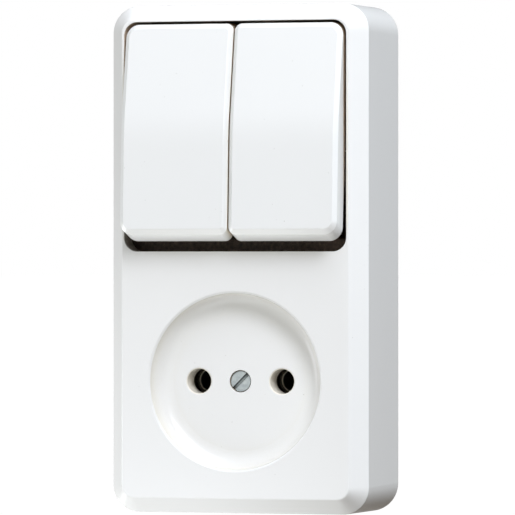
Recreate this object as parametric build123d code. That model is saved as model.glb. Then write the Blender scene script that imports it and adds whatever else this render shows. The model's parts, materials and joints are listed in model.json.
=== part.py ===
from build123d import *

import os
from math import atan2, cos, hypot, pi, radians, sin, sqrt, tan

# Surface-mounted combination: two rocker switches above a two-pin socket.
# X runs to the right, Y back to the wall, Z up. The wall is the plane y = 0,
# and the origin is the middle of the back face. Lengths are in millimetres.

# Front cover
COVER_WIDTH = 58.5  # at the outer edge of the bevel
COVER_HEIGHT = 111.8  # at the outer edge of the bevel
COVER_DEPTH = 29.0  # wall to front plane
COVER_WALL = 2.2
COVER_DRAFT = 0.75  # degrees, the sides widen towards the wall
RIM_LIFT = 0.2  # gap between the cover's rim and the wall
FRONT_CORNER_R = 2.6
BEVEL_RUN = 3.4
BEVEL_DEPTH = 4.5
BEVEL_EDGE_R = 0.4
WINDOW_SIDE_BORDER = 0.5  # flat strip between window and bevel
WINDOW_TOP_BORDER = 0.35
WINDOW_DISH_LAND = 9.05  # flat between window and dish
WINDOW_CORNER_R = 3.0
COLLAR_WALL = 1.4
COLLAR_DEPTH = 5.6  # of the window's inner collar, from the front plane
KNOCKOUT_WIDTH = 15.0
KNOCKOUT_HEIGHT = 13.0
KNOCKOUT_SKIN = 0.9

# Socket
SOCKET_FROM_BOTTOM = 29.0  # socket axis above the cover's lower edge
DISH_RIM_R = 19.5
DISH_DEPTH = 4.6
DISH_DRAFT = 8.0  # degrees
DISH_FILLET_R = 4.0
DISH_RIM_EDGE = 0.35
PIN_SPACING = 19.0
PIN_HOLE_R = 2.75
PIN_HOLE_EDGE = 0.25
PIN_GUIDE_LENGTH = 5.4  # from the dish floor to the back of the guide boss
CHAMBER_R = 3.75  # space for a sleeve behind a pin hole
CHAMBER_WALL = 1.6
SLEEVE_R = 2.35  # inner radius, a little under a pin's
SLEEVE_WALL = 0.6
SLEEVE_SLIT = 0.9
SLEEVE_FRONT = 8.4  # from the dish floor to the mouth of the sleeve
SLEEVE_FLARE = 0.35

# Cover screw and its bush
SCREW_R = 1.25
SCREW_LENGTH = 11.5
SCREW_HEAD_R = 2.25
SCREW_HEAD_HEIGHT = 1.5
SCREW_HEAD_SINK = 0.4  # head below the dish floor
SCREW_HEAD_GAP = 0.2  # around the head
SCREW_SLOT_WIDTH = 0.75
SCREW_SLOT_DEPTH = 0.8
SCREW_SLOT_ANGLE = 45.0
SCREW_HOLE_GAP = 0.2  # around the shank, in the cover
SCREW_THREAD_GAP = 0.05  # around the shank, in the bush
BUSH_WALL = 0.9
BUSH_LENGTH = 9.0
INSERT_GAP = 0.02  # around a pressed-in piece

# Base
BASE_FLOOR = 2.6
BASE_COVER_GAP = 0.3
BASE_RIM_WALL = 1.6
BASE_RIM_HEIGHT = 5.0
CABLE_NOTCH_WIDTH = 17.0
DIVIDER_THICKNESS = 5.4
DIVIDER_FRONT_DEPTH = 8.0  # front of the divider behind the front plane
DIVIDER_OVERLAP = 2.8  # how far the divider shows above the window's lower edge
DIVIDER_SIDE_GAP = 0.4
WIRE_GATE_WIDTH = 8.0
WIRE_GATE_HEIGHT = 7.0
WALL_SLOT_INSET = 8.9  # middle of a slot from the cover's upper or lower edge
WALL_SLOT_R = 2.2
WALL_SLOT_LENGTH = 8.0
CABLE_ENTRY_R = 6.0
CABLE_ENTRY_GAP = 0.85  # to the divider
POCKET_WALL = 1.2
POCKET_HEIGHT = 4.0
POCKET_GAP = 0.3

# Rockers
ROCKER_SIDE_GAP = 0.65
ROCKER_MID_GAP = 0.3
ROCKER_TOP_GAP = 0.26  # to the window at the end that is pressed in
ROCKER_CROWN = 5.25  # middle of the level rocker above the front plane
ROCKER_END_RISE = 3.6  # its ends above the front plane
ROCKER_BLEND_R = 50.0
ROCKER_EDGE = 0.95  # bevel around the front
ROCKER_OUTER_CORNER_R = 2.9
ROCKER_INNER_CORNER_R = 1.7
ROCKER_SKIRT = 5.6
ROCKER_FLARE = 1.05  # each end wall runs out by this towards its rear edge
ROCKER_WALL = 1.6
ROCKER_FRONT_WALL = 1.8
ROCKER_TILT = 6.7  # degrees either side of level
PIVOT_DEPTH = 10.5  # axle behind the front plane
AXLE_R = 1.25
AXLE_GAP = 0.05
AXIAL_GAP = 0.4  # between a cradle and a bearing cheek
CHEEK_THICKNESS = 2.4
CHEEK_TOP_R = 3.2
CHEEK_FOOT = 12.0
CRADLE_CLIP = 0.9  # rail between cradle and cap wall
CRADLE_CLIP_LIP = 0.5
CRADLE_CLIP_LENGTH = 4.0
CRADLE_PLATE = 2.0
CRADLE_PLATE_LENGTH = 24.0
CRADLE_EAR = 1.8
CRADLE_EAR_R = 3.4
BARREL_WALL = 1.4
BARREL_SETBACK = 1.7  # barrel mouth in front of the plunger tip's centre
GUSSET_THICKNESS = 1.4

# Plungers and springs
TIP_R = 1.6
PLUNGER_GAP = 0.1
TIP_REACH = 1.45  # blunt end in front of the tip's centre
SPRING_LENGTH = 2.4  # between the barrel's floor and the plunger
SPRING_WIRE = 0.36
SPRING_TURNS = 3
SPRING_SIDES = 10  # straight runs in a turn
SPRING_GAP = 0.2
AXLE_BARREL_WALL = 0.8

# Contacts and terminals
STRIP_THICKNESS = 1.0
STRIP_WIDTH = 5.0
STRIP_GAP = 0.2
FULCRUM_HEIGHT = 2.8
FULCRUM_WIDTH = 6.0
FULCRUM_THICKNESS = 1.2
FULCRUM_GAP = 0.1  # between knife edge and lever
LEVER_RATIO = 1.5  # lever turn for each degree of rocker turn
LEVER_LENGTH = 16.0
LEVER_WIDTH = 6.4
LEVER_THICKNESS = 0.6
LEVER_TIP_GAP = 0.1  # to the plunger when level
BUTTON_R = 1.4
BUTTON_INSET = 1.6  # from the lever's end
BUTTON_GAP = 0.2  # when closed
SWITCH_TERMINAL_INSET = 7.25  # from the window's upper or lower edge
SOCKET_TERMINAL_DROP = 15.4  # from the socket axis
TERMINAL_WIDTH = 7.0
TERMINAL_LENGTH = 7.0
TERMINAL_HEIGHT = 7.0
WIRE_HOLE = 3.0
WIRE_HOLE_HEIGHT = 2.6  # wire hole's axis above the strip
CLAMP_SCREW_R = 1.5
CLAMP_SCREW_GAP = 0.05
CLAMP_SCREW_REACH = 3.4  # depth of the screw in the block
CLAMP_SCREW_STAND = 1.4  # its length outside the block
CLAMP_SLOT_WIDTH = 0.8
CLAMP_SLOT_DEPTH = 0.8

# Planes and axes worked out from the sizes above
FRONT_Y = -COVER_DEPTH
SHOULDER_Y = FRONT_Y + BEVEL_DEPTH
DRAFT_GROWTH = (COVER_DEPTH - BEVEL_DEPTH) * tan(radians(COVER_DRAFT))
WINDOW_WIDTH = COVER_WIDTH - 2 * BEVEL_RUN - 2 * WINDOW_SIDE_BORDER
WINDOW_TOP_Z = COVER_HEIGHT / 2 - BEVEL_RUN - WINDOW_TOP_BORDER
SOCKET_Z = SOCKET_FROM_BOTTOM - COVER_HEIGHT / 2
WINDOW_BOTTOM_Z = SOCKET_Z + DISH_RIM_R + WINDOW_DISH_LAND
WINDOW_HEIGHT = WINDOW_TOP_Z - WINDOW_BOTTOM_Z
DISH_FLOOR_Y = FRONT_Y + DISH_DEPTH
GUIDE_BACK_Y = DISH_FLOOR_Y + PIN_GUIDE_LENGTH
GUIDE_R = CHAMBER_R + CHAMBER_WALL
SCREW_SEAT_Y = DISH_FLOOR_Y + SCREW_HEAD_SINK + SCREW_HEAD_HEIGHT
BUSH_R = SCREW_R + SCREW_THREAD_GAP + BUSH_WALL
FLOOR_Y = -BASE_FLOOR
STRIP_Y = FLOOR_Y - STRIP_THICKNESS
BASE_WIDTH = COVER_WIDTH + 2 * DRAFT_GROWTH - 2 * (COVER_WALL + BASE_COVER_GAP)
BASE_HEIGHT = COVER_HEIGHT + 2 * DRAFT_GROWTH - 2 * (COVER_WALL + BASE_COVER_GAP)
BASE_CORNER_R = FRONT_CORNER_R + BEVEL_RUN + DRAFT_GROWTH - COVER_WALL - BASE_COVER_GAP
DIVIDER_TOP_Z = WINDOW_BOTTOM_Z + DIVIDER_OVERLAP
CABLE_ENTRY_Z = DIVIDER_TOP_Z + CABLE_ENTRY_GAP + CABLE_ENTRY_R
WALL_SLOT_Z = COVER_HEIGHT / 2 - WALL_SLOT_INSET

PIVOT_Y = FRONT_Y + PIVOT_DEPTH
PIVOT_Z = WINDOW_TOP_Z - WINDOW_HEIGHT / 2
ROCKER_WIDTH = (WINDOW_WIDTH - ROCKER_MID_GAP - 2 * ROCKER_SIDE_GAP) / 2
ROCKER_X = (ROCKER_MID_GAP + ROCKER_WIDTH) / 2
ROCKER_EDGE_Y = -PIVOT_DEPTH - ROCKER_END_RISE  # from the axle
ROCKER_CROWN_Y = -PIVOT_DEPTH - ROCKER_CROWN
ROCKER_REAR_Y = ROCKER_EDGE_Y + ROCKER_SKIRT
ROCKER_LIFT = -ROCKER_REAR_Y * sin(radians(ROCKER_TILT))  # of the rear edges in rest
ROCKER_REAR_HALF = (WINDOW_HEIGHT / 2 - ROCKER_TOP_GAP - ROCKER_LIFT) / cos(radians(ROCKER_TILT))
ROCKER_HALF = ROCKER_REAR_HALF - ROCKER_FLARE
ROCKER_SEAT_Y = ROCKER_EDGE_Y + ROCKER_FRONT_WALL
CRADLE_HALF = ROCKER_WIDTH / 2 - ROCKER_WALL - CRADLE_CLIP
CHEEK_X = ROCKER_X + CRADLE_HALF + AXIAL_GAP  # inner face of the outer cheeks
MID_CHEEK_HALF = ROCKER_X - CRADLE_HALF - AXIAL_GAP
FULCRUM_Y = STRIP_Y - FULCRUM_HEIGHT
TIP_Y = FULCRUM_Y - LEVER_THICKNESS - LEVER_TIP_GAP - TIP_R - PIVOT_Y  # from the axle
BARREL_BACK_Y = TIP_Y - BARREL_SETBACK
BARREL_R = TIP_R + PLUNGER_GAP
BARREL_FLOOR_Y = AXLE_R + AXLE_GAP + AXLE_BARREL_WALL
PLUNGER_FOOT_Y = BARREL_FLOOR_Y + SPRING_LENGTH
LEVER_TILT = LEVER_RATIO * ROCKER_TILT
SWITCH_TERMINAL_ARM = WINDOW_HEIGHT / 2 - SWITCH_TERMINAL_INSET
BUTTON_ARM = LEVER_LENGTH / 2 - BUTTON_INSET
BUTTON_HEIGHT = (
    FULCRUM_HEIGHT - (BUTTON_ARM + BUTTON_R) * sin(radians(LEVER_TILT)) - BUTTON_GAP
) / 2
SIDES = {"left": -1, "right": 1}
SWITCH_TERMINALS = [
    (-ROCKER_X, PIVOT_Z + SWITCH_TERMINAL_ARM),
    (ROCKER_X, PIVOT_Z + SWITCH_TERMINAL_ARM),
    (ROCKER_X, PIVOT_Z - SWITCH_TERMINAL_ARM),
]
SOCKET_TERMINALS = [
    (-PIN_SPACING / 2, SOCKET_Z - SOCKET_TERMINAL_DROP),
    (PIN_SPACING / 2, SOCKET_Z - SOCKET_TERMINAL_DROP),
]


def facing(y):
    """Sketch plane at depth y: X to the right and Z up, looking out of the front."""
    return Plane.XZ.offset(-y)


def block(x0, x1, y0, y1, z0, z1):
    """Box between two corners."""
    middle = Pos((x0 + x1) / 2, (y0 + y1) / 2, (z0 + z1) / 2)
    return middle * Box(abs(x1 - x0), abs(y1 - y0), abs(z1 - z0))


def prism(outline, y_front, y_back, x=0, z=0):
    """Flat outline at (x, z), run from y_back out to y_front."""
    return extrude(facing(y_back) * Pos(x, z) * outline, y_back - y_front)


def rod(radius, y_front, y_back, x=0, z=0):
    """Round bar along Y."""
    return prism(Circle(radius), y_front, y_back, x, z)


def cross_rod(radius, x0, x1, y, z):
    """Round bar along X."""
    return Pos((x0 + x1) / 2, y, z) * Rot(0, 90, 0) * Cylinder(radius, x1 - x0)


def edges_at_depth(shape, y):
    """Edges that lie in the plane at depth y."""
    return shape.edges().filter_by(lambda e: abs(e.center().Y - y) < 1e-3)


def circles(edges, radius):
    """Full circles of the given radius among the edges."""
    return edges.filter_by(lambda e: abs(e.length - 2 * pi * radius) < 1e-3)


def cover_outside():
    """Drafted sides, then the bevel up to the front plane."""
    levels = [(-RIM_LIFT, -DRAFT_GROWTH), (SHOULDER_Y, 0), (FRONT_Y, BEVEL_RUN)]
    sections = []
    for y, inset in levels:
        corner_r = FRONT_CORNER_R + BEVEL_RUN - inset
        outline = RectangleRounded(COVER_WIDTH - 2 * inset, COVER_HEIGHT - 2 * inset, corner_r)
        sections.append(facing(y) * outline)
    outside = loft(sections, ruled=True)
    outside = fillet(edges_at_depth(outside, FRONT_Y), BEVEL_EDGE_R)
    return fillet(edges_at_depth(outside, SHOULDER_Y), BEVEL_EDGE_R)


def cover_inside():
    """Hollow of the cover: the outside set in by the wall, with flat corners."""
    side_bend = atan2(BEVEL_RUN, BEVEL_DEPTH)
    side_shift = COVER_WALL * tan(side_bend / 2)
    front_inset = BEVEL_RUN + COVER_WALL * tan(radians(45) - side_bend / 2)
    levels = [
        (0, COVER_WALL - DRAFT_GROWTH),
        (SHOULDER_Y + side_shift, COVER_WALL),
        (FRONT_Y + COVER_WALL, front_inset),
    ]
    sections = []
    for y, inset in levels:
        outline = Rectangle(COVER_WIDTH - 2 * inset, COVER_HEIGHT - 2 * inset)
        corner_r = FRONT_CORNER_R + BEVEL_RUN - inset
        sections.append(facing(y) * chamfer(outline.vertices(), (2 - sqrt(2)) * corner_r))
    return loft(sections, ruled=True)


def dish_hollow():
    """Round recess with a drafted wall that runs into its floor in a wide fillet."""
    floor_r = DISH_RIM_R - DISH_DEPTH * tan(radians(DISH_DRAFT))
    clear_y = FRONT_Y - DISH_DEPTH
    outline = make_face(
        Polyline(
            (0, clear_y),
            (DISH_RIM_R, clear_y),
            (DISH_RIM_R, FRONT_Y),
            (floor_r, DISH_FLOOR_Y),
            (0, DISH_FLOOR_Y),
            close=True,
        )
    )
    corner = outline.vertices().sort_by_distance((floor_r, DISH_FLOOR_Y, 0))[0]
    outline = fillet(corner, DISH_FILLET_R)
    return Pos(0, 0, SOCKET_Z) * revolve(outline, Axis.Y)


def window_outline(margin):
    """Rounded square of the window, grown by a margin."""
    width = WINDOW_WIDTH + 2 * margin
    return RectangleRounded(width, WINDOW_HEIGHT + 2 * margin, WINDOW_CORNER_R + margin)


def guide_outline():
    """Long round-ended boss around both pin holes."""
    return SlotCenterToCenter(PIN_SPACING, 2 * GUIDE_R)


def front_cover():
    outside = cover_outside()
    cover = outside - cover_inside()
    skin_middle = FRONT_Y + COVER_WALL / 2
    collar_back = FRONT_Y + COLLAR_DEPTH
    cover += prism(window_outline(COLLAR_WALL), skin_middle, collar_back, z=PIVOT_Z) & outside
    cover += rod(DISH_RIM_R + COVER_WALL, skin_middle, DISH_FLOOR_Y + COVER_WALL, z=SOCKET_Z)
    cover += prism(guide_outline(), DISH_FLOOR_Y + COVER_WALL / 2, GUIDE_BACK_Y, z=SOCKET_Z)
    cover -= prism(window_outline(0), FRONT_Y - COVER_WALL, collar_back, z=PIVOT_Z)
    cover -= dish_hollow()
    cover = chamfer(circles(edges_at_depth(cover, FRONT_Y), DISH_RIM_R), DISH_RIM_EDGE)
    for x in (-PIN_SPACING / 2, PIN_SPACING / 2):
        cover -= rod(PIN_HOLE_R, FRONT_Y, GUIDE_BACK_Y, x, SOCKET_Z)
    cover = chamfer(circles(edges_at_depth(cover, DISH_FLOOR_Y), PIN_HOLE_R), PIN_HOLE_EDGE)
    cover -= rod(SCREW_HEAD_R + SCREW_HEAD_GAP, FRONT_Y, SCREW_SEAT_Y, z=SOCKET_Z)
    cover -= rod(SCREW_R + SCREW_HOLE_GAP, FRONT_Y, GUIDE_BACK_Y, z=SOCKET_Z)
    # thinned places in the upper and lower wall, broken out for a surface cable
    for side in (-1, 1):
        cover -= block(
            -KNOCKOUT_WIDTH / 2,
            KNOCKOUT_WIDTH / 2,
            -KNOCKOUT_HEIGHT,
            0,
            side * (COVER_HEIGHT / 2 - 2 * COVER_WALL),
            side * (COVER_HEIGHT / 2 - KNOCKOUT_SKIN),
        )
    return cover


def driver_slot(length, width, depth):
    """Slot for a screwdriver, cut back from y = 0."""
    return block(-length / 2, length / 2, -depth, depth, -width / 2, width / 2)


def cover_screw():
    """Cheese-head screw, its head sunk a little into the dish floor."""
    screw = rod(SCREW_HEAD_R, 0, SCREW_HEAD_HEIGHT)
    screw += rod(SCREW_R, SCREW_HEAD_HEIGHT, SCREW_HEAD_HEIGHT + SCREW_LENGTH)
    slot = driver_slot(3 * SCREW_HEAD_R, SCREW_SLOT_WIDTH, SCREW_SLOT_DEPTH)
    screw -= Rot(0, -SCREW_SLOT_ANGLE, 0) * slot
    return Pos(0, DISH_FLOOR_Y + SCREW_HEAD_SINK, SOCKET_Z) * screw


def screw_bush():
    back = GUIDE_BACK_Y + BUSH_LENGTH
    bush = rod(BUSH_R, GUIDE_BACK_Y, back, z=SOCKET_Z)
    return bush - rod(SCREW_R + SCREW_THREAD_GAP, GUIDE_BACK_Y, back, z=SOCKET_Z)


def bearing_cheek(x0, x1):
    """Tapered pillar of the base with a round top about the axle."""
    half_foot = CHEEK_FOOT / 2
    profile = make_face(
        Polyline(
            (FLOOR_Y, PIVOT_Z - half_foot),
            (PIVOT_Y, PIVOT_Z - CHEEK_TOP_R),
            (PIVOT_Y, PIVOT_Z + CHEEK_TOP_R),
            (FLOOR_Y, PIVOT_Z + half_foot),
            close=True,
        )
    )
    profile += Pos(PIVOT_Y, PIVOT_Z) * Circle(CHEEK_TOP_R)
    return extrude(Plane.YZ.offset(x0) * profile, x1 - x0)


def terminal_pocket(x, z):
    """Low wall on both sides of a terminal."""
    inner = TERMINAL_WIDTH / 2 + POCKET_GAP
    outer = inner + POCKET_WALL
    half = TERMINAL_LENGTH / 2
    walls = block(x - outer, x - inner, FLOOR_Y - POCKET_HEIGHT, FLOOR_Y, z - half, z + half)
    walls += block(x + inner, x + outer, FLOOR_Y - POCKET_HEIGHT, FLOOR_Y, z - half, z + half)
    return walls


def base_outline(inset):
    width = BASE_WIDTH - 2 * inset
    return RectangleRounded(width, BASE_HEIGHT - 2 * inset, BASE_CORNER_R - inset)


def divider():
    """Wall between the switches and the socket, with a gate for the wires."""
    half = WINDOW_WIDTH / 2 + COLLAR_WALL - DIVIDER_SIDE_GAP
    low = DIVIDER_TOP_Z - DIVIDER_THICKNESS
    wall = block(-half, half, FRONT_Y + DIVIDER_FRONT_DEPTH, FLOOR_Y, low, DIVIDER_TOP_Z)
    gate_left = -ROCKER_X - WIRE_GATE_WIDTH / 2
    gate_right = -ROCKER_X + WIRE_GATE_WIDTH / 2
    return wall - block(gate_left, gate_right, FLOOR_Y - WIRE_GATE_HEIGHT, FLOOR_Y, low, DIVIDER_TOP_Z)


def base():
    rim_y = FLOOR_Y - BASE_RIM_HEIGHT
    tray = prism(base_outline(0), rim_y, 0)
    tray -= prism(base_outline(BASE_RIM_WALL), rim_y, FLOOR_Y)
    notch_half = CABLE_NOTCH_WIDTH / 2
    tray -= block(-notch_half, notch_half, rim_y, FLOOR_Y, -BASE_HEIGHT, BASE_HEIGHT)
    tray += divider()
    axle_end = CHEEK_X + CHEEK_THICKNESS
    tray += bearing_cheek(-axle_end, -CHEEK_X)
    tray += bearing_cheek(-MID_CHEEK_HALF, MID_CHEEK_HALF)
    tray += bearing_cheek(CHEEK_X, axle_end)
    tray -= cross_rod(AXLE_R + AXLE_GAP, -axle_end, axle_end, PIVOT_Y, PIVOT_Z)
    tray += prism(guide_outline(), GUIDE_BACK_Y, FLOOR_Y, z=SOCKET_Z)
    for x in (-PIN_SPACING / 2, PIN_SPACING / 2):
        tray -= rod(CHAMBER_R, GUIDE_BACK_Y, FLOOR_Y, x, SOCKET_Z)
        half = STRIP_WIDTH / 2 + STRIP_GAP
        tray -= block(x - half, x + half, STRIP_Y - STRIP_GAP, FLOOR_Y, SOCKET_Z - 2 * GUIDE_R, SOCKET_Z)
    tray -= rod(BUSH_R + INSERT_GAP, GUIDE_BACK_Y, GUIDE_BACK_Y + BUSH_LENGTH, z=SOCKET_Z)
    bar_half = STRIP_WIDTH / 2 + STRIP_GAP
    tray -= block(-ROCKER_X, ROCKER_X, STRIP_Y - STRIP_GAP, FLOOR_Y, PIVOT_Z - bar_half, PIVOT_Z + bar_half)
    for x, z in SWITCH_TERMINALS + SOCKET_TERMINALS:
        tray += terminal_pocket(x, z)
    for side in (-1, 1):
        slot = Rot(0, 0, 90) * SlotOverall(WALL_SLOT_LENGTH, 2 * WALL_SLOT_R)
        tray -= prism(slot, FLOOR_Y, 0, z=side * WALL_SLOT_Z)
    return tray - rod(CABLE_ENTRY_R, FLOOR_Y, 0, -ROCKER_X, CABLE_ENTRY_Z)


def rocker_cap(side):
    """Cap about its axle at the origin, level. Its outer side is at the given side."""
    profile = make_face(
        Polyline(
            (ROCKER_REAR_Y, -ROCKER_REAR_HALF),
            (ROCKER_EDGE_Y, -ROCKER_HALF),
            (ROCKER_CROWN_Y, 0),
            (ROCKER_EDGE_Y, ROCKER_HALF),
            (ROCKER_REAR_Y, ROCKER_REAR_HALF),
            close=True,
        )
    )
    crown = profile.vertices().sort_by_distance((ROCKER_CROWN_Y, 0, 0))[0]
    profile = fillet(crown, ROCKER_BLEND_R)
    cap = extrude(Plane.YZ * profile, ROCKER_WIDTH / 2, both=True)
    cap = fillet(corner_uprights(cap, side), ROCKER_OUTER_CORNER_R)
    cap = fillet(corner_uprights(cap, -side), ROCKER_INNER_CORNER_R)
    cap = chamfer(front_perimeter(cap), ROCKER_EDGE)
    seat_half = ROCKER_HALF - ROCKER_WALL
    rear_half = ROCKER_REAR_HALF - ROCKER_WALL
    hollow = make_face(
        Polyline(
            (ROCKER_REAR_Y, -rear_half),
            (ROCKER_SEAT_Y, -seat_half),
            (ROCKER_SEAT_Y, seat_half),
            (ROCKER_REAR_Y, rear_half),
            close=True,
        )
    )
    cap -= extrude(Plane.YZ * hollow, ROCKER_WIDTH / 2 - ROCKER_WALL, both=True)
    return cap + cap_clips()


def corner_uprights(cap, side):
    """The two front-to-back edges at the ends of one long side."""
    x = side * ROCKER_WIDTH / 2
    length = hypot(ROCKER_SKIRT, ROCKER_FLARE)
    edges = cap.edges().filter_by(lambda e: abs(e.center().X - x) < 1e-3)
    return edges.filter_by(lambda e: abs(e.length - length) < 1e-3)


def front_perimeter(cap):
    """Edges around the front faces of a cap."""
    fronts = cap.faces().filter_by(lambda f: f.normal_at().Y < -0.9)
    edges = [edge for face in fronts for edge in face.edges()]
    return [edge for edge in edges if sum(edge.is_same(other) for other in edges) == 1]


def cap_clips():
    """Four hooks that hold the cradle's plate against the cap."""
    wall_x = CRADLE_HALF + CRADLE_CLIP
    plate_back = ROCKER_SEAT_Y + CRADLE_PLATE
    near = CRADLE_EAR_R + CRADLE_CLIP_LIP
    far = near + CRADLE_CLIP_LENGTH
    hook = block(CRADLE_HALF, wall_x, ROCKER_SEAT_Y, plate_back + CRADLE_CLIP_LIP, near, far)
    hook += block(CRADLE_HALF - CRADLE_CLIP_LIP, wall_x, plate_back, plate_back + CRADLE_CLIP_LIP, near, far)
    hooks = hook + mirror(hook, Plane.XY)
    return hooks + mirror(hooks, Plane.YZ)


def rocker_cradle():
    """Plate in the cap, two ears on the axle and the plunger's barrel, about the axle at the origin."""
    plate_back = ROCKER_SEAT_Y + CRADLE_PLATE
    half_length = CRADLE_PLATE_LENGTH / 2
    barrel_half = BARREL_R + BARREL_WALL
    cradle = block(-CRADLE_HALF, CRADLE_HALF, ROCKER_SEAT_Y, plate_back, -half_length, half_length)
    for side in (-1, 1):
        outer = side * CRADLE_HALF
        inner = outer - side * CRADLE_EAR
        cradle += block(inner, outer, plate_back, 0, -CRADLE_EAR_R, CRADLE_EAR_R)
        cradle += cross_rod(CRADLE_EAR_R, min(inner, outer), max(inner, outer), 0, 0)
    cradle += block(-barrel_half, barrel_half, plate_back, BARREL_BACK_Y, -barrel_half, barrel_half)
    gusset = make_face(
        Polyline((plate_back, -half_length), (plate_back, half_length), (0, 0), close=True)
    )
    cradle += extrude(Plane.YZ * gusset, GUSSET_THICKNESS / 2, both=True)
    cradle -= cross_rod(AXLE_R + AXLE_GAP, -CRADLE_HALF, CRADLE_HALF, 0, 0)
    return cradle - rod(BARREL_R, BARREL_FLOOR_Y, BARREL_BACK_Y)


def plunger():
    """Round-nosed pin in the cradle's barrel."""
    pin = rod(TIP_R, PLUNGER_FOOT_Y, TIP_Y + TIP_REACH)
    return chamfer(edges_at_depth(pin, TIP_Y + TIP_REACH), TIP_REACH, 2 * TIP_R / 3)


def spring():
    """Compression spring between the barrel's floor and the plunger."""
    coil_r = BARREL_R - SPRING_GAP - SPRING_WIRE
    start_y = BARREL_FLOOR_Y + SPRING_WIRE
    length = PLUNGER_FOOT_Y - SPRING_WIRE - start_y
    steps = SPRING_TURNS * SPRING_SIDES
    turn = 2 * pi / SPRING_SIDES
    path = Polyline(
        *[
            (coil_r * cos(turn * i), start_y + length * i / steps, coil_r * sin(turn * i))
            for i in range(steps + 1)
        ]
    )
    section = Plane(origin=path @ 0, z_dir=path % 0) * Rectangle(SPRING_WIRE, SPRING_WIRE)
    return sweep(section, path=path, transition=Transition.RIGHT)


def rocker_axle():
    end = CHEEK_X + CHEEK_THICKNESS
    return cross_rod(AXLE_R, -end, end, PIVOT_Y, PIVOT_Z)


def contact_lever():
    """Flat lever about the knife edge at the origin, level."""
    half = LEVER_WIDTH / 2
    end = LEVER_LENGTH / 2
    return block(-half, half, -LEVER_THICKNESS, 0, -end, end)


def moving_button():
    return rod(BUTTON_R, 0, BUTTON_HEIGHT, z=BUTTON_ARM)


def common_contact_bar():
    """Bar along both levers with a knife edge under each, and a leg to its terminal."""
    half = STRIP_WIDTH / 2
    reach = ROCKER_X + FULCRUM_WIDTH / 2
    bar = block(-reach, reach, STRIP_Y, FLOOR_Y, PIVOT_Z - half, PIVOT_Z + half)
    leg_end = PIVOT_Z - SWITCH_TERMINAL_ARM - TERMINAL_LENGTH / 2
    bar += block(ROCKER_X - half, ROCKER_X + half, STRIP_Y, FLOOR_Y, leg_end, PIVOT_Z)
    foot = FULCRUM_THICKNESS / 2
    edge_y = FULCRUM_Y + FULCRUM_GAP
    knife = make_face(
        Polyline(
            (STRIP_Y, PIVOT_Z - foot),
            (edge_y + FULCRUM_THICKNESS, PIVOT_Z - foot),
            (edge_y, PIVOT_Z),
            (edge_y + FULCRUM_THICKNESS, PIVOT_Z + foot),
            (STRIP_Y, PIVOT_Z + foot),
            close=True,
        )
    )
    for x in (-ROCKER_X, ROCKER_X):
        bar += extrude(Plane.YZ.offset(x) * knife, FULCRUM_WIDTH / 2, both=True)
    return bar


def fixed_contact(side):
    """Strip from under the lever's upper end to the terminal."""
    x = side * ROCKER_X
    half = STRIP_WIDTH / 2
    lower = PIVOT_Z + BUTTON_ARM - BUTTON_R - STRIP_GAP
    upper = PIVOT_Z + SWITCH_TERMINAL_ARM + TERMINAL_LENGTH / 2
    return block(x - half, x + half, STRIP_Y, FLOOR_Y, lower, upper)


def fixed_buttons():
    return [
        rod(BUTTON_R, STRIP_Y - BUTTON_HEIGHT, STRIP_Y, side * ROCKER_X, PIVOT_Z + BUTTON_ARM)
        for side in SIDES.values()
    ]


def socket_contact(side):
    """Split sleeve on a strip that runs down to the terminal."""
    x = side * PIN_SPACING / 2
    mouth_y = DISH_FLOOR_Y + SLEEVE_FRONT
    outer_r = SLEEVE_R + SLEEVE_WALL
    sleeve = rod(outer_r, mouth_y, STRIP_Y)
    sleeve -= rod(SLEEVE_R, mouth_y, STRIP_Y)
    sleeve -= Pos(0, mouth_y, 0) * Rot(-90, 0, 0) * Cone(
        SLEEVE_R + SLEEVE_FLARE, SLEEVE_R, SLEEVE_WALL, align=(Align.CENTER, Align.CENTER, Align.MIN)
    )
    sleeve -= block(-SLEEVE_SLIT / 2, SLEEVE_SLIT / 2, mouth_y, STRIP_Y, 0, 2 * outer_r)
    half = STRIP_WIDTH / 2
    strip_end = SOCKET_Z - SOCKET_TERMINAL_DROP - TERMINAL_LENGTH / 2
    strip = block(x - half, x + half, STRIP_Y, FLOOR_Y, strip_end, SOCKET_Z)
    strip += rod(outer_r, STRIP_Y, FLOOR_Y, x, SOCKET_Z)
    return strip + Pos(x, 0, SOCKET_Z) * sleeve


def terminal_block(x, z):
    """Box clamp on a strip: a square wire hole along Z and a tapped hole from the front."""
    front_y = STRIP_Y - TERMINAL_HEIGHT
    half = TERMINAL_WIDTH / 2
    half_length = TERMINAL_LENGTH / 2
    terminal = block(x - half, x + half, front_y, STRIP_Y, z - half_length, z + half_length)
    wire_y = STRIP_Y - WIRE_HOLE_HEIGHT
    terminal -= Pos(x, wire_y, z) * Box(WIRE_HOLE, WIRE_HOLE, TERMINAL_LENGTH)
    return terminal - rod(CLAMP_SCREW_R + CLAMP_SCREW_GAP, front_y, wire_y, x, z)


def clamp_screw(x, z):
    """Headless slotted screw that stands a little out of its block."""
    screw = rod(CLAMP_SCREW_R, 0, CLAMP_SCREW_STAND + CLAMP_SCREW_REACH)
    screw -= driver_slot(3 * CLAMP_SCREW_R, CLAMP_SLOT_WIDTH, CLAMP_SLOT_DEPTH)
    return Pos(x, STRIP_Y - TERMINAL_HEIGHT - CLAMP_SCREW_STAND, z) * screw


def on_rocker(side, shape):
    """Set a piece of a rocker on the axle, tipped as in rest: top in, bottom out."""
    return Pos(side * ROCKER_X, PIVOT_Y, PIVOT_Z) * Rot(-ROCKER_TILT, 0, 0) * shape


def on_fulcrum(side, shape):
    """Set a piece of a lever on its knife edge, tipped against the rocker."""
    return Pos(side * ROCKER_X, FULCRUM_Y, PIVOT_Z) * Rot(LEVER_TILT, 0, 0) * shape


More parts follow.
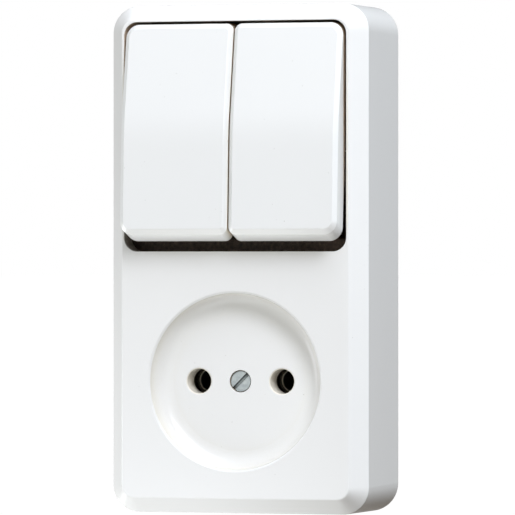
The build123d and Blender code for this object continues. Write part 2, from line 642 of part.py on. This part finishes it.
def pieces():
    """Every node with its shape or its group of shapes."""
    nodes = {
        "base": base(),
        "front_cover": front_cover(),
        "cover_screw": cover_screw(),
        "screw_bush": screw_bush(),
        "rocker_axle": rocker_axle(),
        "common_contact_bar": common_contact_bar(),
        "fixed_buttons": fixed_buttons(),
        "switch_terminals": [terminal_block(x, z) for x, z in SWITCH_TERMINALS],
        "switch_terminal_screws": [clamp_screw(x, z) for x, z in SWITCH_TERMINALS],
        "socket_terminals": [terminal_block(x, z) for x, z in SOCKET_TERMINALS],
        "socket_terminal_screws": [clamp_screw(x, z) for x, z in SOCKET_TERMINALS],
    }
    for name, side in SIDES.items():
        nodes[f"{name}_rocker_cap"] = on_rocker(side, rocker_cap(side))
        nodes[f"{name}_rocker_cradle"] = on_rocker(side, rocker_cradle())
        nodes[f"{name}_plunger"] = on_rocker(side, plunger())
        nodes[f"{name}_spring"] = on_rocker(side, spring())
        nodes[f"{name}_contact_lever"] = on_fulcrum(side, contact_lever())
        nodes[f"{name}_moving_button"] = on_fulcrum(side, moving_button())
        nodes[f"{name}_fixed_contact"] = fixed_contact(side)
        nodes[f"{name}_socket_contact"] = socket_contact(side)
    return nodes


os.makedirs("parts", exist_ok=True)
for node, shape in pieces().items():
    solids = shape if isinstance(shape, list) else [shape]
    export_step(Compound(children=solids) if len(solids) > 1 else solids[0], f"parts/{node}.step")
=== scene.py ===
import json
from math import cos, radians, sin

import bpy
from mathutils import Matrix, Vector


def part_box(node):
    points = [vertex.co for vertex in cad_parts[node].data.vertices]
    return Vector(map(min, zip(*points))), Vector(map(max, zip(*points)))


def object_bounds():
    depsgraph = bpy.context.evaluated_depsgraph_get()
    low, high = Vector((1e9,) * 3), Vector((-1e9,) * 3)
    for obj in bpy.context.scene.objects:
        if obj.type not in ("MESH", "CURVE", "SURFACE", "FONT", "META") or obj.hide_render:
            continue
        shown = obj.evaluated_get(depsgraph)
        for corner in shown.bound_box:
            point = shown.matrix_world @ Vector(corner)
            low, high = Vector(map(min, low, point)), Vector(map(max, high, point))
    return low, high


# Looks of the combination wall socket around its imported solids. Lengths are in metres:
# X to the right, Y back to the wall, Z up, with the front facing -Y.

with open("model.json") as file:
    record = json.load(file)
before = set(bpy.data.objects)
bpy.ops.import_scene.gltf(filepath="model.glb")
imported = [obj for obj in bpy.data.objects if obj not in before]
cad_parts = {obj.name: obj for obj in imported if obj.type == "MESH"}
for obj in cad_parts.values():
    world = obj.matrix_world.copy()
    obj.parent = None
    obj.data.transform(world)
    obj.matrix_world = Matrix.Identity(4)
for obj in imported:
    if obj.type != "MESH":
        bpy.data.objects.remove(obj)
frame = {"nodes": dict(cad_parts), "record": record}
CAD_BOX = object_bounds()
NODES = frame["nodes"]
COVER_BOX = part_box("front_cover")
PIN_HOLES = [mount for mount in frame["record"]["mounts"] if mount["kind"] == "bore"]

# Camera, as in the photograph: to the object's right, level with its middle
VIEW_YAW = 16.5  # degrees from straight in front
VIEW_DISTANCE = 1.072  # to the middle of the front
VIEW_SENSOR = 36  # width in millimetres
VIEW_LENS = 342.2  # millimetres
VIEW_AIM_RIGHT = 0.2706  # degrees, to set the object left of the middle of the picture
VIEW_AIM_UP = 0.017  # degrees

# Studio
FRONT_LIGHTS_DISTANCE = 0.9
FRONT_LIGHTS_SIZE = 0.4
SIDE_LIGHT_DISTANCE = 2.84
SIDE_LIGHT_SIZE = 1.2
ROOM_LEVEL = 0.25  # mean brightness of the room
ROOM_SLOPE = 0.245  # how much brighter it is on its bright side
ROOM_BRIGHT_SIDE = (-5, -3, 1)  # direction: to the left, a little to the front and up
FLOOR_SIZE = 60.0
FLOOR_DROP = 0.06  # below the object, which hangs on a wall
FLOOR_COLOUR = (0.03, 0.03, 0.03, 1)  # dark, since the floor's whiteness is light of its own
FLOOR_LIT = 0.64  # light from the floor in front and to the left
FLOOR_LIT_TINT = (1.0, 1.0, 0.92)
FLOOR_DIM = 0.1  # light from the floor behind and to the right
FLOOR_DIM_TINT = (1.0, 0.76, 0.55)
FLOOR_DIM_SIDE = (0.94, 0.34, 0)  # direction in which the floor goes dim
FLOOR_DIM_START = 0.015  # where it starts to, from the object's middle
FLOOR_DIM_END = 0.03

# Edges that look rounded, by radius
MOULDED_EDGE = 0.00022
METAL_EDGE = 0.0004
SLEEVE_EDGE = 0.00015

# White plastic with painted shade in its gaps and hollows, warm brown deep in a gap and cream in shallow
# hollows: tints by openness, 0 deep in a gap and 1 outside
GAP_REACH = 0.02  # surfaces farther apart than this make no gap
COVER_PAINTED_SHADE = [
    (0.0, (0.95, 0.76, 0.6)),
    (0.12, (0.94, 0.79, 0.65)),
    (0.3, (0.92, 0.83, 0.71)),
    (0.55, (0.92, 0.88, 0.79)),
    (0.69, (0.945, 0.92, 0.85)),
    (0.76, (0.98, 0.97, 0.94)),
    (0.83, (1, 1, 1)),
]
ROCKER_PAINTED_SHADE = [
    (0.0, (0.45, 0.33, 0.24)),
    (0.12, (0.62, 0.48, 0.36)),
    (0.3, (0.88, 0.79, 0.68)),
    (0.55, (0.96, 0.94, 0.88)),
    (0.72, (1, 1, 1)),
]
PIN_HOLE_PAINTED_LIGHT = (1.08, 1.03, 0.94)  # painted light: lightens and warms the pin holes' walls in place of the painted gap shade
PIN_HOLE_RIM = 0.00005  # how far past a hole's edge the painted light reaches
PIN_HOLE_FADE = 0.0002
DUST_COLOUR = (0.35, 0.33, 0.3)
DUST_STRENGTH = 0.45

# Band inside a socket sleeve, worn by plug pins and painted bright as a glint, measured in from the sleeve's
# mouth
WORN_GLINT_COLOUR = (0.92, 0.86, 0.74)
WORN_GLINT_START = 0.0004
WORN_GLINT_END = 0.0007
WORN_GLINT_FADE_IN = 0.00025
WORN_GLINT_FADE_OUT = 0.0005

# Painted shade, nearly black, in the corners and slots of metal pieces
CORNER_PAINTED_SHADE = (0.02, 0.018, 0.015)
CORNER_SHADE_REACH = 0.0012


def add(tree, kind, inputs, **settings):
    """New node; an input is a constant or another node's output."""
    node = tree.nodes.new("ShaderNode" + kind)
    for name, value in settings.items():
        setattr(node, name, value)
    for key, value in inputs.items():
        if isinstance(value, bpy.types.NodeSocket):
            tree.links.new(value, node.inputs[key])
        else:
            node.inputs[key].default_value = value
    return node


def math_node(tree, operation, first, second):
    return add(tree, "Math", {0: first, 1: second}, operation=operation).outputs[0]


def vector_node(tree, operation, first, second, output):
    return add(tree, "VectorMath", {0: first, 1: second}, operation=operation).outputs[output]


def ramp(tree, factor, stops):
    """Colour ramp through (position, colour) stops."""
    node = add(tree, "ValToRGB", {"Fac": factor})
    elements = node.color_ramp.elements
    elements[0].position, elements[0].color = stops[0][0], (*stops[0][1], 1)
    elements[1].position, elements[1].color = stops[-1][0], (*stops[-1][1], 1)
    for position, colour in stops[1:-1]:
        elements.new(position).color = (*colour, 1)
    return node.outputs["Color"]


def mix(tree, factor, first, second, blend="MIX"):
    """Blend of two colours."""
    node = add(tree, "Mix", {"Factor": factor}, data_type="RGBA", blend_type=blend)
    # A Mix node has its colours at inputs 6 and 7 and at output 2
    for socket, value in zip((node.inputs[6], node.inputs[7]), (first, second)):
        if isinstance(value, bpy.types.NodeSocket):
            tree.links.new(value, socket)
        else:
            socket.default_value = (*value, 1)
    return node.outputs[2]


def place(tree):
    """Position in the piece's own metres, which at rest is its place in the whole."""
    return add(tree, "TexCoord", {}).outputs["Object"]


def noise(tree, scale, detail=2.0, roughness=0.5):
    """Clouded value from 0 to 1, with scale in waves per metre."""
    inputs = {"Vector": place(tree), "Scale": scale, "Detail": detail, "Roughness": roughness}
    return add(tree, "TexNoise", inputs).outputs["Fac"]


def spread(tree, value, low, high):
    """A value from 0 to 1, set to run from low to high."""
    inputs = {"Value": value, "To Min": low, "To Max": high}
    return add(tree, "MapRange", inputs).outputs["Result"]


def step(tree, value, start, end):
    """Smooth change from 0 to 1 as a value goes from start to end."""
    inputs = {"Value": value, "From Min": start, "From Max": end}
    return add(tree, "MapRange", inputs, interpolation_type="SMOOTHSTEP").outputs["Result"]


def skin(tree, shader, height, depth, edge):
    """Fine relief on surfaces whose sharp edges look rounded."""
    rounded = add(tree, "Bevel", {"Radius": edge}, samples=6).outputs["Normal"]
    inputs = {"Height": height, "Distance": depth, "Strength": 1.0, "Normal": rounded}
    tree.links.new(add(tree, "Bump", inputs).outputs["Normal"], shader.inputs["Normal"])


def openness(tree, reach):
    """1 on open surfaces, down to 0 deep in a gap."""
    return add(tree, "AmbientOcclusion", {"Distance": reach}, samples=12).outputs["AO"]


def material(name, **sockets):
    """Material with a principled shader: itself, its node tree and that shader."""
    made = bpy.data.materials.new(name)
    made.use_nodes = True
    shader = made.node_tree.nodes["Principled BSDF"]
    for socket, value in sockets.items():
        shader.inputs[socket.replace("_", " ")].default_value = value
    return made, made.node_tree, shader


def in_pin_holes(tree):
    """1 in the pin holes, 0 elsewhere."""
    flat = vector_node(tree, "MULTIPLY", place(tree), (1, 0, 1), "Vector")
    reaches = []
    for hole in PIN_HOLES:
        middle = Vector(hole["pos_m"]) * Vector((1, 0, 1))
        reaches.append(vector_node(tree, "DISTANCE", flat, middle, "Value"))
    rim = PIN_HOLES[0]["dims"]["r_mm"] / 1000 + PIN_HOLE_RIM
    return step(tree, math_node(tree, "MINIMUM", *reaches), start=rim + PIN_HOLE_FADE, end=rim)


def moulded_white(name, light, dark, roughness, tints):
    """White thermoset: faint clouding, a soft moulded skin, dust specks, painted shade in its gaps and
    painted light in its pin holes.
    """
    made, tree, shader = material(name, IOR=1.5)
    clouds = mix(tree, noise(tree, scale=55.0, detail=3.0), dark, light)
    specks = step(tree, noise(tree, scale=1900.0, detail=1.0), start=0.8, end=0.82)
    dusty = mix(tree, math_node(tree, "MULTIPLY", specks, DUST_STRENGTH), clouds, DUST_COLOUR)
    # Painted shade by openness in the gaps, swapped for painted light in the pin holes; both multiply the
    # dusty colour
    painted_gap_shade = ramp(tree, openness(tree, GAP_REACH), tints)
    dusty_shaded_and_lit = mix(tree, 1.0, dusty, mix(tree, in_pin_holes(tree), painted_gap_shade, PIN_HOLE_PAINTED_LIGHT), "MULTIPLY")
    tree.links.new(dusty_shaded_and_lit, shader.inputs["Base Color"])
    gloss = spread(tree, noise(tree, scale=160.0), low=roughness - 0.01, high=roughness + 0.01)
    tree.links.new(gloss, shader.inputs["Roughness"])
    waves = noise(tree, scale=300.0, detail=1.0)
    grain = noise(tree, scale=3800.0, detail=1.0)
    skin(tree, shader, math_node(tree, "ADD", waves, grain), depth=0.000003, edge=MOULDED_EDGE)
    return made


def brown_phenolic():
    """Dark brown moulding compound with wood-flour flecks."""
    made, tree, shader = material("brown_phenolic", IOR=1.55)
    flour = noise(tree, scale=1500.0, detail=6.0, roughness=0.65)
    stops = [(0.3, (0.05, 0.029, 0.018)), (0.55, (0.125, 0.076, 0.05)), (0.8, (0.24, 0.155, 0.105))]
    tree.links.new(ramp(tree, flour, stops), shader.inputs["Base Color"])
    gloss = spread(tree, noise(tree, scale=700.0, detail=3.0), low=0.38, high=0.58)
    tree.links.new(gloss, shader.inputs["Roughness"])
    skin(tree, shader, flour, depth=0.00001, edge=MOULDED_EDGE)
    return made


def bare_metal(name, bright, tarnish_and_shade, roughness):
    """Plated or bare metal: patchy tarnish, uneven gloss, fine relief and painted shade in its corners."""
    made, tree, shader = material(name, Metallic=1.0)
    patches = noise(tree, scale=600.0, detail=5.0, roughness=0.6)
    tarnish = ramp(tree, patches, [(0.35, bright), (0.72, tarnish_and_shade)])
    # Painted shade: darkens corners and slots by openness
    unshaded = step(tree, openness(tree, CORNER_SHADE_REACH), start=0.2, end=0.68)
    tree.links.new(mix(tree, unshaded, CORNER_PAINTED_SHADE, tarnish), shader.inputs["Base Color"])
    wear = noise(tree, scale=2500.0, detail=3.0)
    gloss = spread(tree, wear, low=roughness - 0.08, high=roughness + 0.12)
    tree.links.new(gloss, shader.inputs["Roughness"])
    skin(tree, shader, noise(tree, scale=2600.0), depth=0.000003, edge=METAL_EDGE)
    return made


def shaded_sleeve_with_glint():
    """Brass darkened nearly to black, partly tarnish and partly painted shade, with a band at the inner edge
    of the sleeve's mouth that plug pins wear and that is painted bright as a glint.
    """
    made, tree, shader = material("shaded_sleeve_with_glint")
    depth = add(tree, "SeparateXYZ", {"Vector": place(tree)}).outputs["Y"]
    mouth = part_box("left_socket_contact")[0].y
    start, end = mouth + WORN_GLINT_START, mouth + WORN_GLINT_END
    past_start = step(tree, depth, start - WORN_GLINT_FADE_IN, start)
    before_end = step(tree, depth, end + WORN_GLINT_FADE_OUT, end)
    # Band worn by plug pins and painted bright: a painted glint at the sleeve's mouth
    worn_glint = math_node(tree, "MULTIPLY", past_start, before_end)
    patches = noise(tree, scale=900.0, detail=5.0, roughness=0.6)
    # Near-black brass: partly tarnish, partly painted shade deep in the sleeve
    tarnish_and_shade = ramp(tree, patches, [(0.35, (0.1, 0.085, 0.06)), (0.7, (0.05, 0.042, 0.03))])
    tree.links.new(mix(tree, worn_glint, tarnish_and_shade, WORN_GLINT_COLOUR), shader.inputs["Base Color"])
    tree.links.new(spread(tree, worn_glint, low=1.0, high=0.2), shader.inputs["Metallic"])
    tree.links.new(spread(tree, worn_glint, low=0.45, high=0.6), shader.inputs["Roughness"])
    skin(tree, shader, noise(tree, scale=3000.0, detail=3.0), depth=0.000006, edge=SLEEVE_EDGE)
    return made


def natural_plastic():
    """Uncoloured nylon, a little see-through."""
    made, tree, shader = material("natural_plastic", Subsurface_Weight=0.2, Subsurface_Scale=0.001)
    clouds = noise(tree, scale=220.0, detail=3.0)
    colour = mix(tree, clouds, (0.7, 0.66, 0.56), (0.78, 0.75, 0.67))
    tree.links.new(colour, shader.inputs["Base Color"])
    gloss = spread(tree, noise(tree, scale=1200.0, detail=3.0), low=0.35, high=0.5)
    tree.links.new(gloss, shader.inputs["Roughness"])
    skin(tree, shader, noise(tree, scale=2600.0), depth=0.000005, edge=MOULDED_EDGE)
    return made


def make_finishes():
    """Material of each slot in the record."""
    cover_white = {"light": (0.855, 0.86, 0.862), "dark": (0.838, 0.843, 0.846), "roughness": 0.2}
    rocker_white = {"light": (0.845, 0.855, 0.86), "dark": (0.828, 0.838, 0.844), "roughness": 0.22}
    return {
        "white_cover": moulded_white("white_cover", **cover_white, tints=COVER_PAINTED_SHADE),
        "white_rocker": moulded_white("white_rocker", **rocker_white, tints=ROCKER_PAINTED_SHADE),
        "brown_phenolic": brown_phenolic(),
        "natural_plastic": natural_plastic(),
        "zinc_screw": bare_metal("zinc_screw", (0.88, 0.96, 1.0), (0.5, 0.57, 0.64), 0.3),
        "steel": bare_metal("steel", (0.6, 0.6, 0.6), (0.4, 0.39, 0.38), 0.3),
        "brass": bare_metal("brass", (0.8, 0.6, 0.28), (0.5, 0.33, 0.14), 0.32),
        "silver_contact": bare_metal("silver_contact", (0.86, 0.85, 0.82), (0.6, 0.57, 0.5), 0.25),
    }


def dress_nodes():
    """Gives every solid the material of its slot, and the socket sleeves one of their own."""
    finishes = make_finishes()
    sleeve = shaded_sleeve_with_glint()
    for part in frame["record"]["subparts"]:
        solid = NODES[part["node"]]
        solid.data.materials.clear()
        is_sleeve = part["node"].endswith("socket_contact")
        solid.data.materials.append(sleeve if is_sleeve else finishes[part["material_slot"]])
        for face in solid.data.polygons:
            face.use_smooth = True


def direction(yaw, height):
    """Unit vector from the object, by degrees to its right and above the floor."""
    level = cos(radians(height))
    return Vector((sin(radians(yaw)) * level, -cos(radians(yaw)) * level, sin(radians(height))))


def make_camera():
    """Camera at the photograph's angle."""
    front_middle = Vector((0, COVER_BOX[0].y, 0))
    camera = bpy.data.objects.new("camera", bpy.data.cameras.new("camera"))
    camera.data.lens = VIEW_LENS
    camera.data.sensor_width = VIEW_SENSOR
    camera.location = front_middle + VIEW_DISTANCE * direction(VIEW_YAW, height=0)
    camera.rotation_euler = (radians(90 + VIEW_AIM_UP), 0, radians(VIEW_YAW - VIEW_AIM_RIGHT))
    bpy.context.scene.collection.objects.link(camera)
    bpy.context.scene.camera = camera


def seen(tree):
    """1 where the camera looks straight at a surface, otherwise 0."""
    return add(tree, "LightPath", {}).outputs["Is Camera Ray"]


def seen_white(tree, level):
    """A brightness that counts as white where the camera looks straight at it."""
    return add(tree, "Mix", {"Factor": seen(tree), "A": level, "B": 1.0}, data_type="FLOAT").outputs[0]


def make_room():
    """Plain room, brighter on one side."""
    world = bpy.data.worlds.new("room")
    bpy.context.scene.world = world
    world.use_nodes = True
    tree = world.node_tree
    outward = add(tree, "TexCoord", {}).outputs["Generated"]
    bright_side = Vector(ROOM_BRIGHT_SIDE).normalized()
    along = vector_node(tree, "DOT_PRODUCT", outward, bright_side, "Value")
    level = math_node(tree, "ADD", math_node(tree, "MULTIPLY", along, ROOM_SLOPE), ROOM_LEVEL)
    background = tree.nodes["Background"]
    background.inputs["Color"].default_value = (1, 1, 1, 1)
    tree.links.new(seen_white(tree, level), background.inputs["Strength"])


def make_floor():
    """White floor that throws less light from behind, on the object's right."""
    bpy.ops.mesh.primitive_plane_add(size=FLOOR_SIZE, location=(0, 0, CAD_BOX[0][2] - FLOOR_DROP))
    floor = bpy.context.object
    floor.name = "floor"
    made, tree, shader = material("floor", Base_Color=FLOOR_COLOUR, Roughness=0.9, Specular_IOR_Level=0.0)
    away = vector_node(tree, "DOT_PRODUCT", place(tree), FLOOR_DIM_SIDE, "Value")
    dim = step(tree, away, FLOOR_DIM_START, FLOOR_DIM_END)
    tint = mix(tree, dim, FLOOR_LIT_TINT, FLOOR_DIM_TINT)
    tree.links.new(mix(tree, seen(tree), tint, (1, 1, 1)), shader.inputs["Emission Color"])
    level = spread(tree, dim, FLOOR_LIT, FLOOR_DIM)
    tree.links.new(seen_white(tree, level), shader.inputs["Emission Strength"])
    floor.data.materials.append(made)


def make_light(name, position, target, size, power, tint, beam=180):
    """Oval light with a width and height, aimed at a target, whose beam is so many degrees wide."""
    light = bpy.data.lights.new(name, "AREA")
    light.shape = "ELLIPSE"
    light.size, light.size_y = size
    light.spread = radians(beam)
    light.energy = power
    light.color = tint
    lamp = bpy.data.objects.new(name, light)
    lamp.location = position
    lamp.rotation_euler = (position - target).to_track_quat("Z", "Y").to_euler()
    bpy.context.scene.collection.objects.link(lamp)


def make_studio_lights():
    """Large soft lights: two in front, to the right, and one beside the object."""
    middle = Vector((0, 0, 0))
    size = (FRONT_LIGHTS_SIZE, FRONT_LIGHTS_SIZE)
    position = FRONT_LIGHTS_DISTANCE * direction(yaw=35, height=38)
    make_light("key", position, middle, size, power=5.3, tint=(0.98, 1.0, 1.045))
    position = FRONT_LIGHTS_DISTANCE * direction(yaw=20, height=60)
    make_light("top", position, middle, size, power=1.94, tint=(0.96, 1.0, 1.06))
    size = (SIDE_LIGHT_SIZE, SIDE_LIGHT_SIZE)
    position = SIDE_LIGHT_DISTANCE * direction(yaw=95, height=42)
    make_light("side", position, middle, size, power=43.5, tint=(0.935, 1.0, 1.04))


def from_corner(right, back, up):
    """Place measured from the lower left corner of the cover's front."""
    return COVER_BOX[0] + Vector((right, back, up))


def make_cards():
    """Small lights close by, as from white cards, for two bevels, the corner between them and the rockers."""
    position, target = from_corner(-0.1154, -0.01, 0.0012), Vector((0, 0, 0))
    make_light("left_card", position, target, (0.07, 0.07), power=0.064, tint=(0.98, 1.0, 1.07))
    position, target = from_corner(0.0146, -0.018, -0.0438), from_corner(0.0196, 0.002, 0.0002)
    make_light("low_card", position, target, (0.06, 0.06), power=0.0141, tint=(0.97, 1.0, 1.08))
    position, target = from_corner(-0.0729, 0.048, -0.0443), from_corner(0.0026, 0.002, 0.0027)
    make_light("corner_card", position, target, (0.03, 0.03), power=0.0022, tint=(1, 1, 1))
    half_width = COVER_BOX[1].x
    position, target = from_corner(half_width, -0.0007, -0.0558), from_corner(half_width, -0.0107, 0.0592)
    make_light("rocker_card", position, target, (0.06, 0.002), power=0.0011, tint=(1, 1, 0.96), beam=11)


bpy.context.scene.view_settings.view_transform = "Standard"
dress_nodes()
make_camera()
make_room()
make_floor()
make_studio_lights()
make_cards()
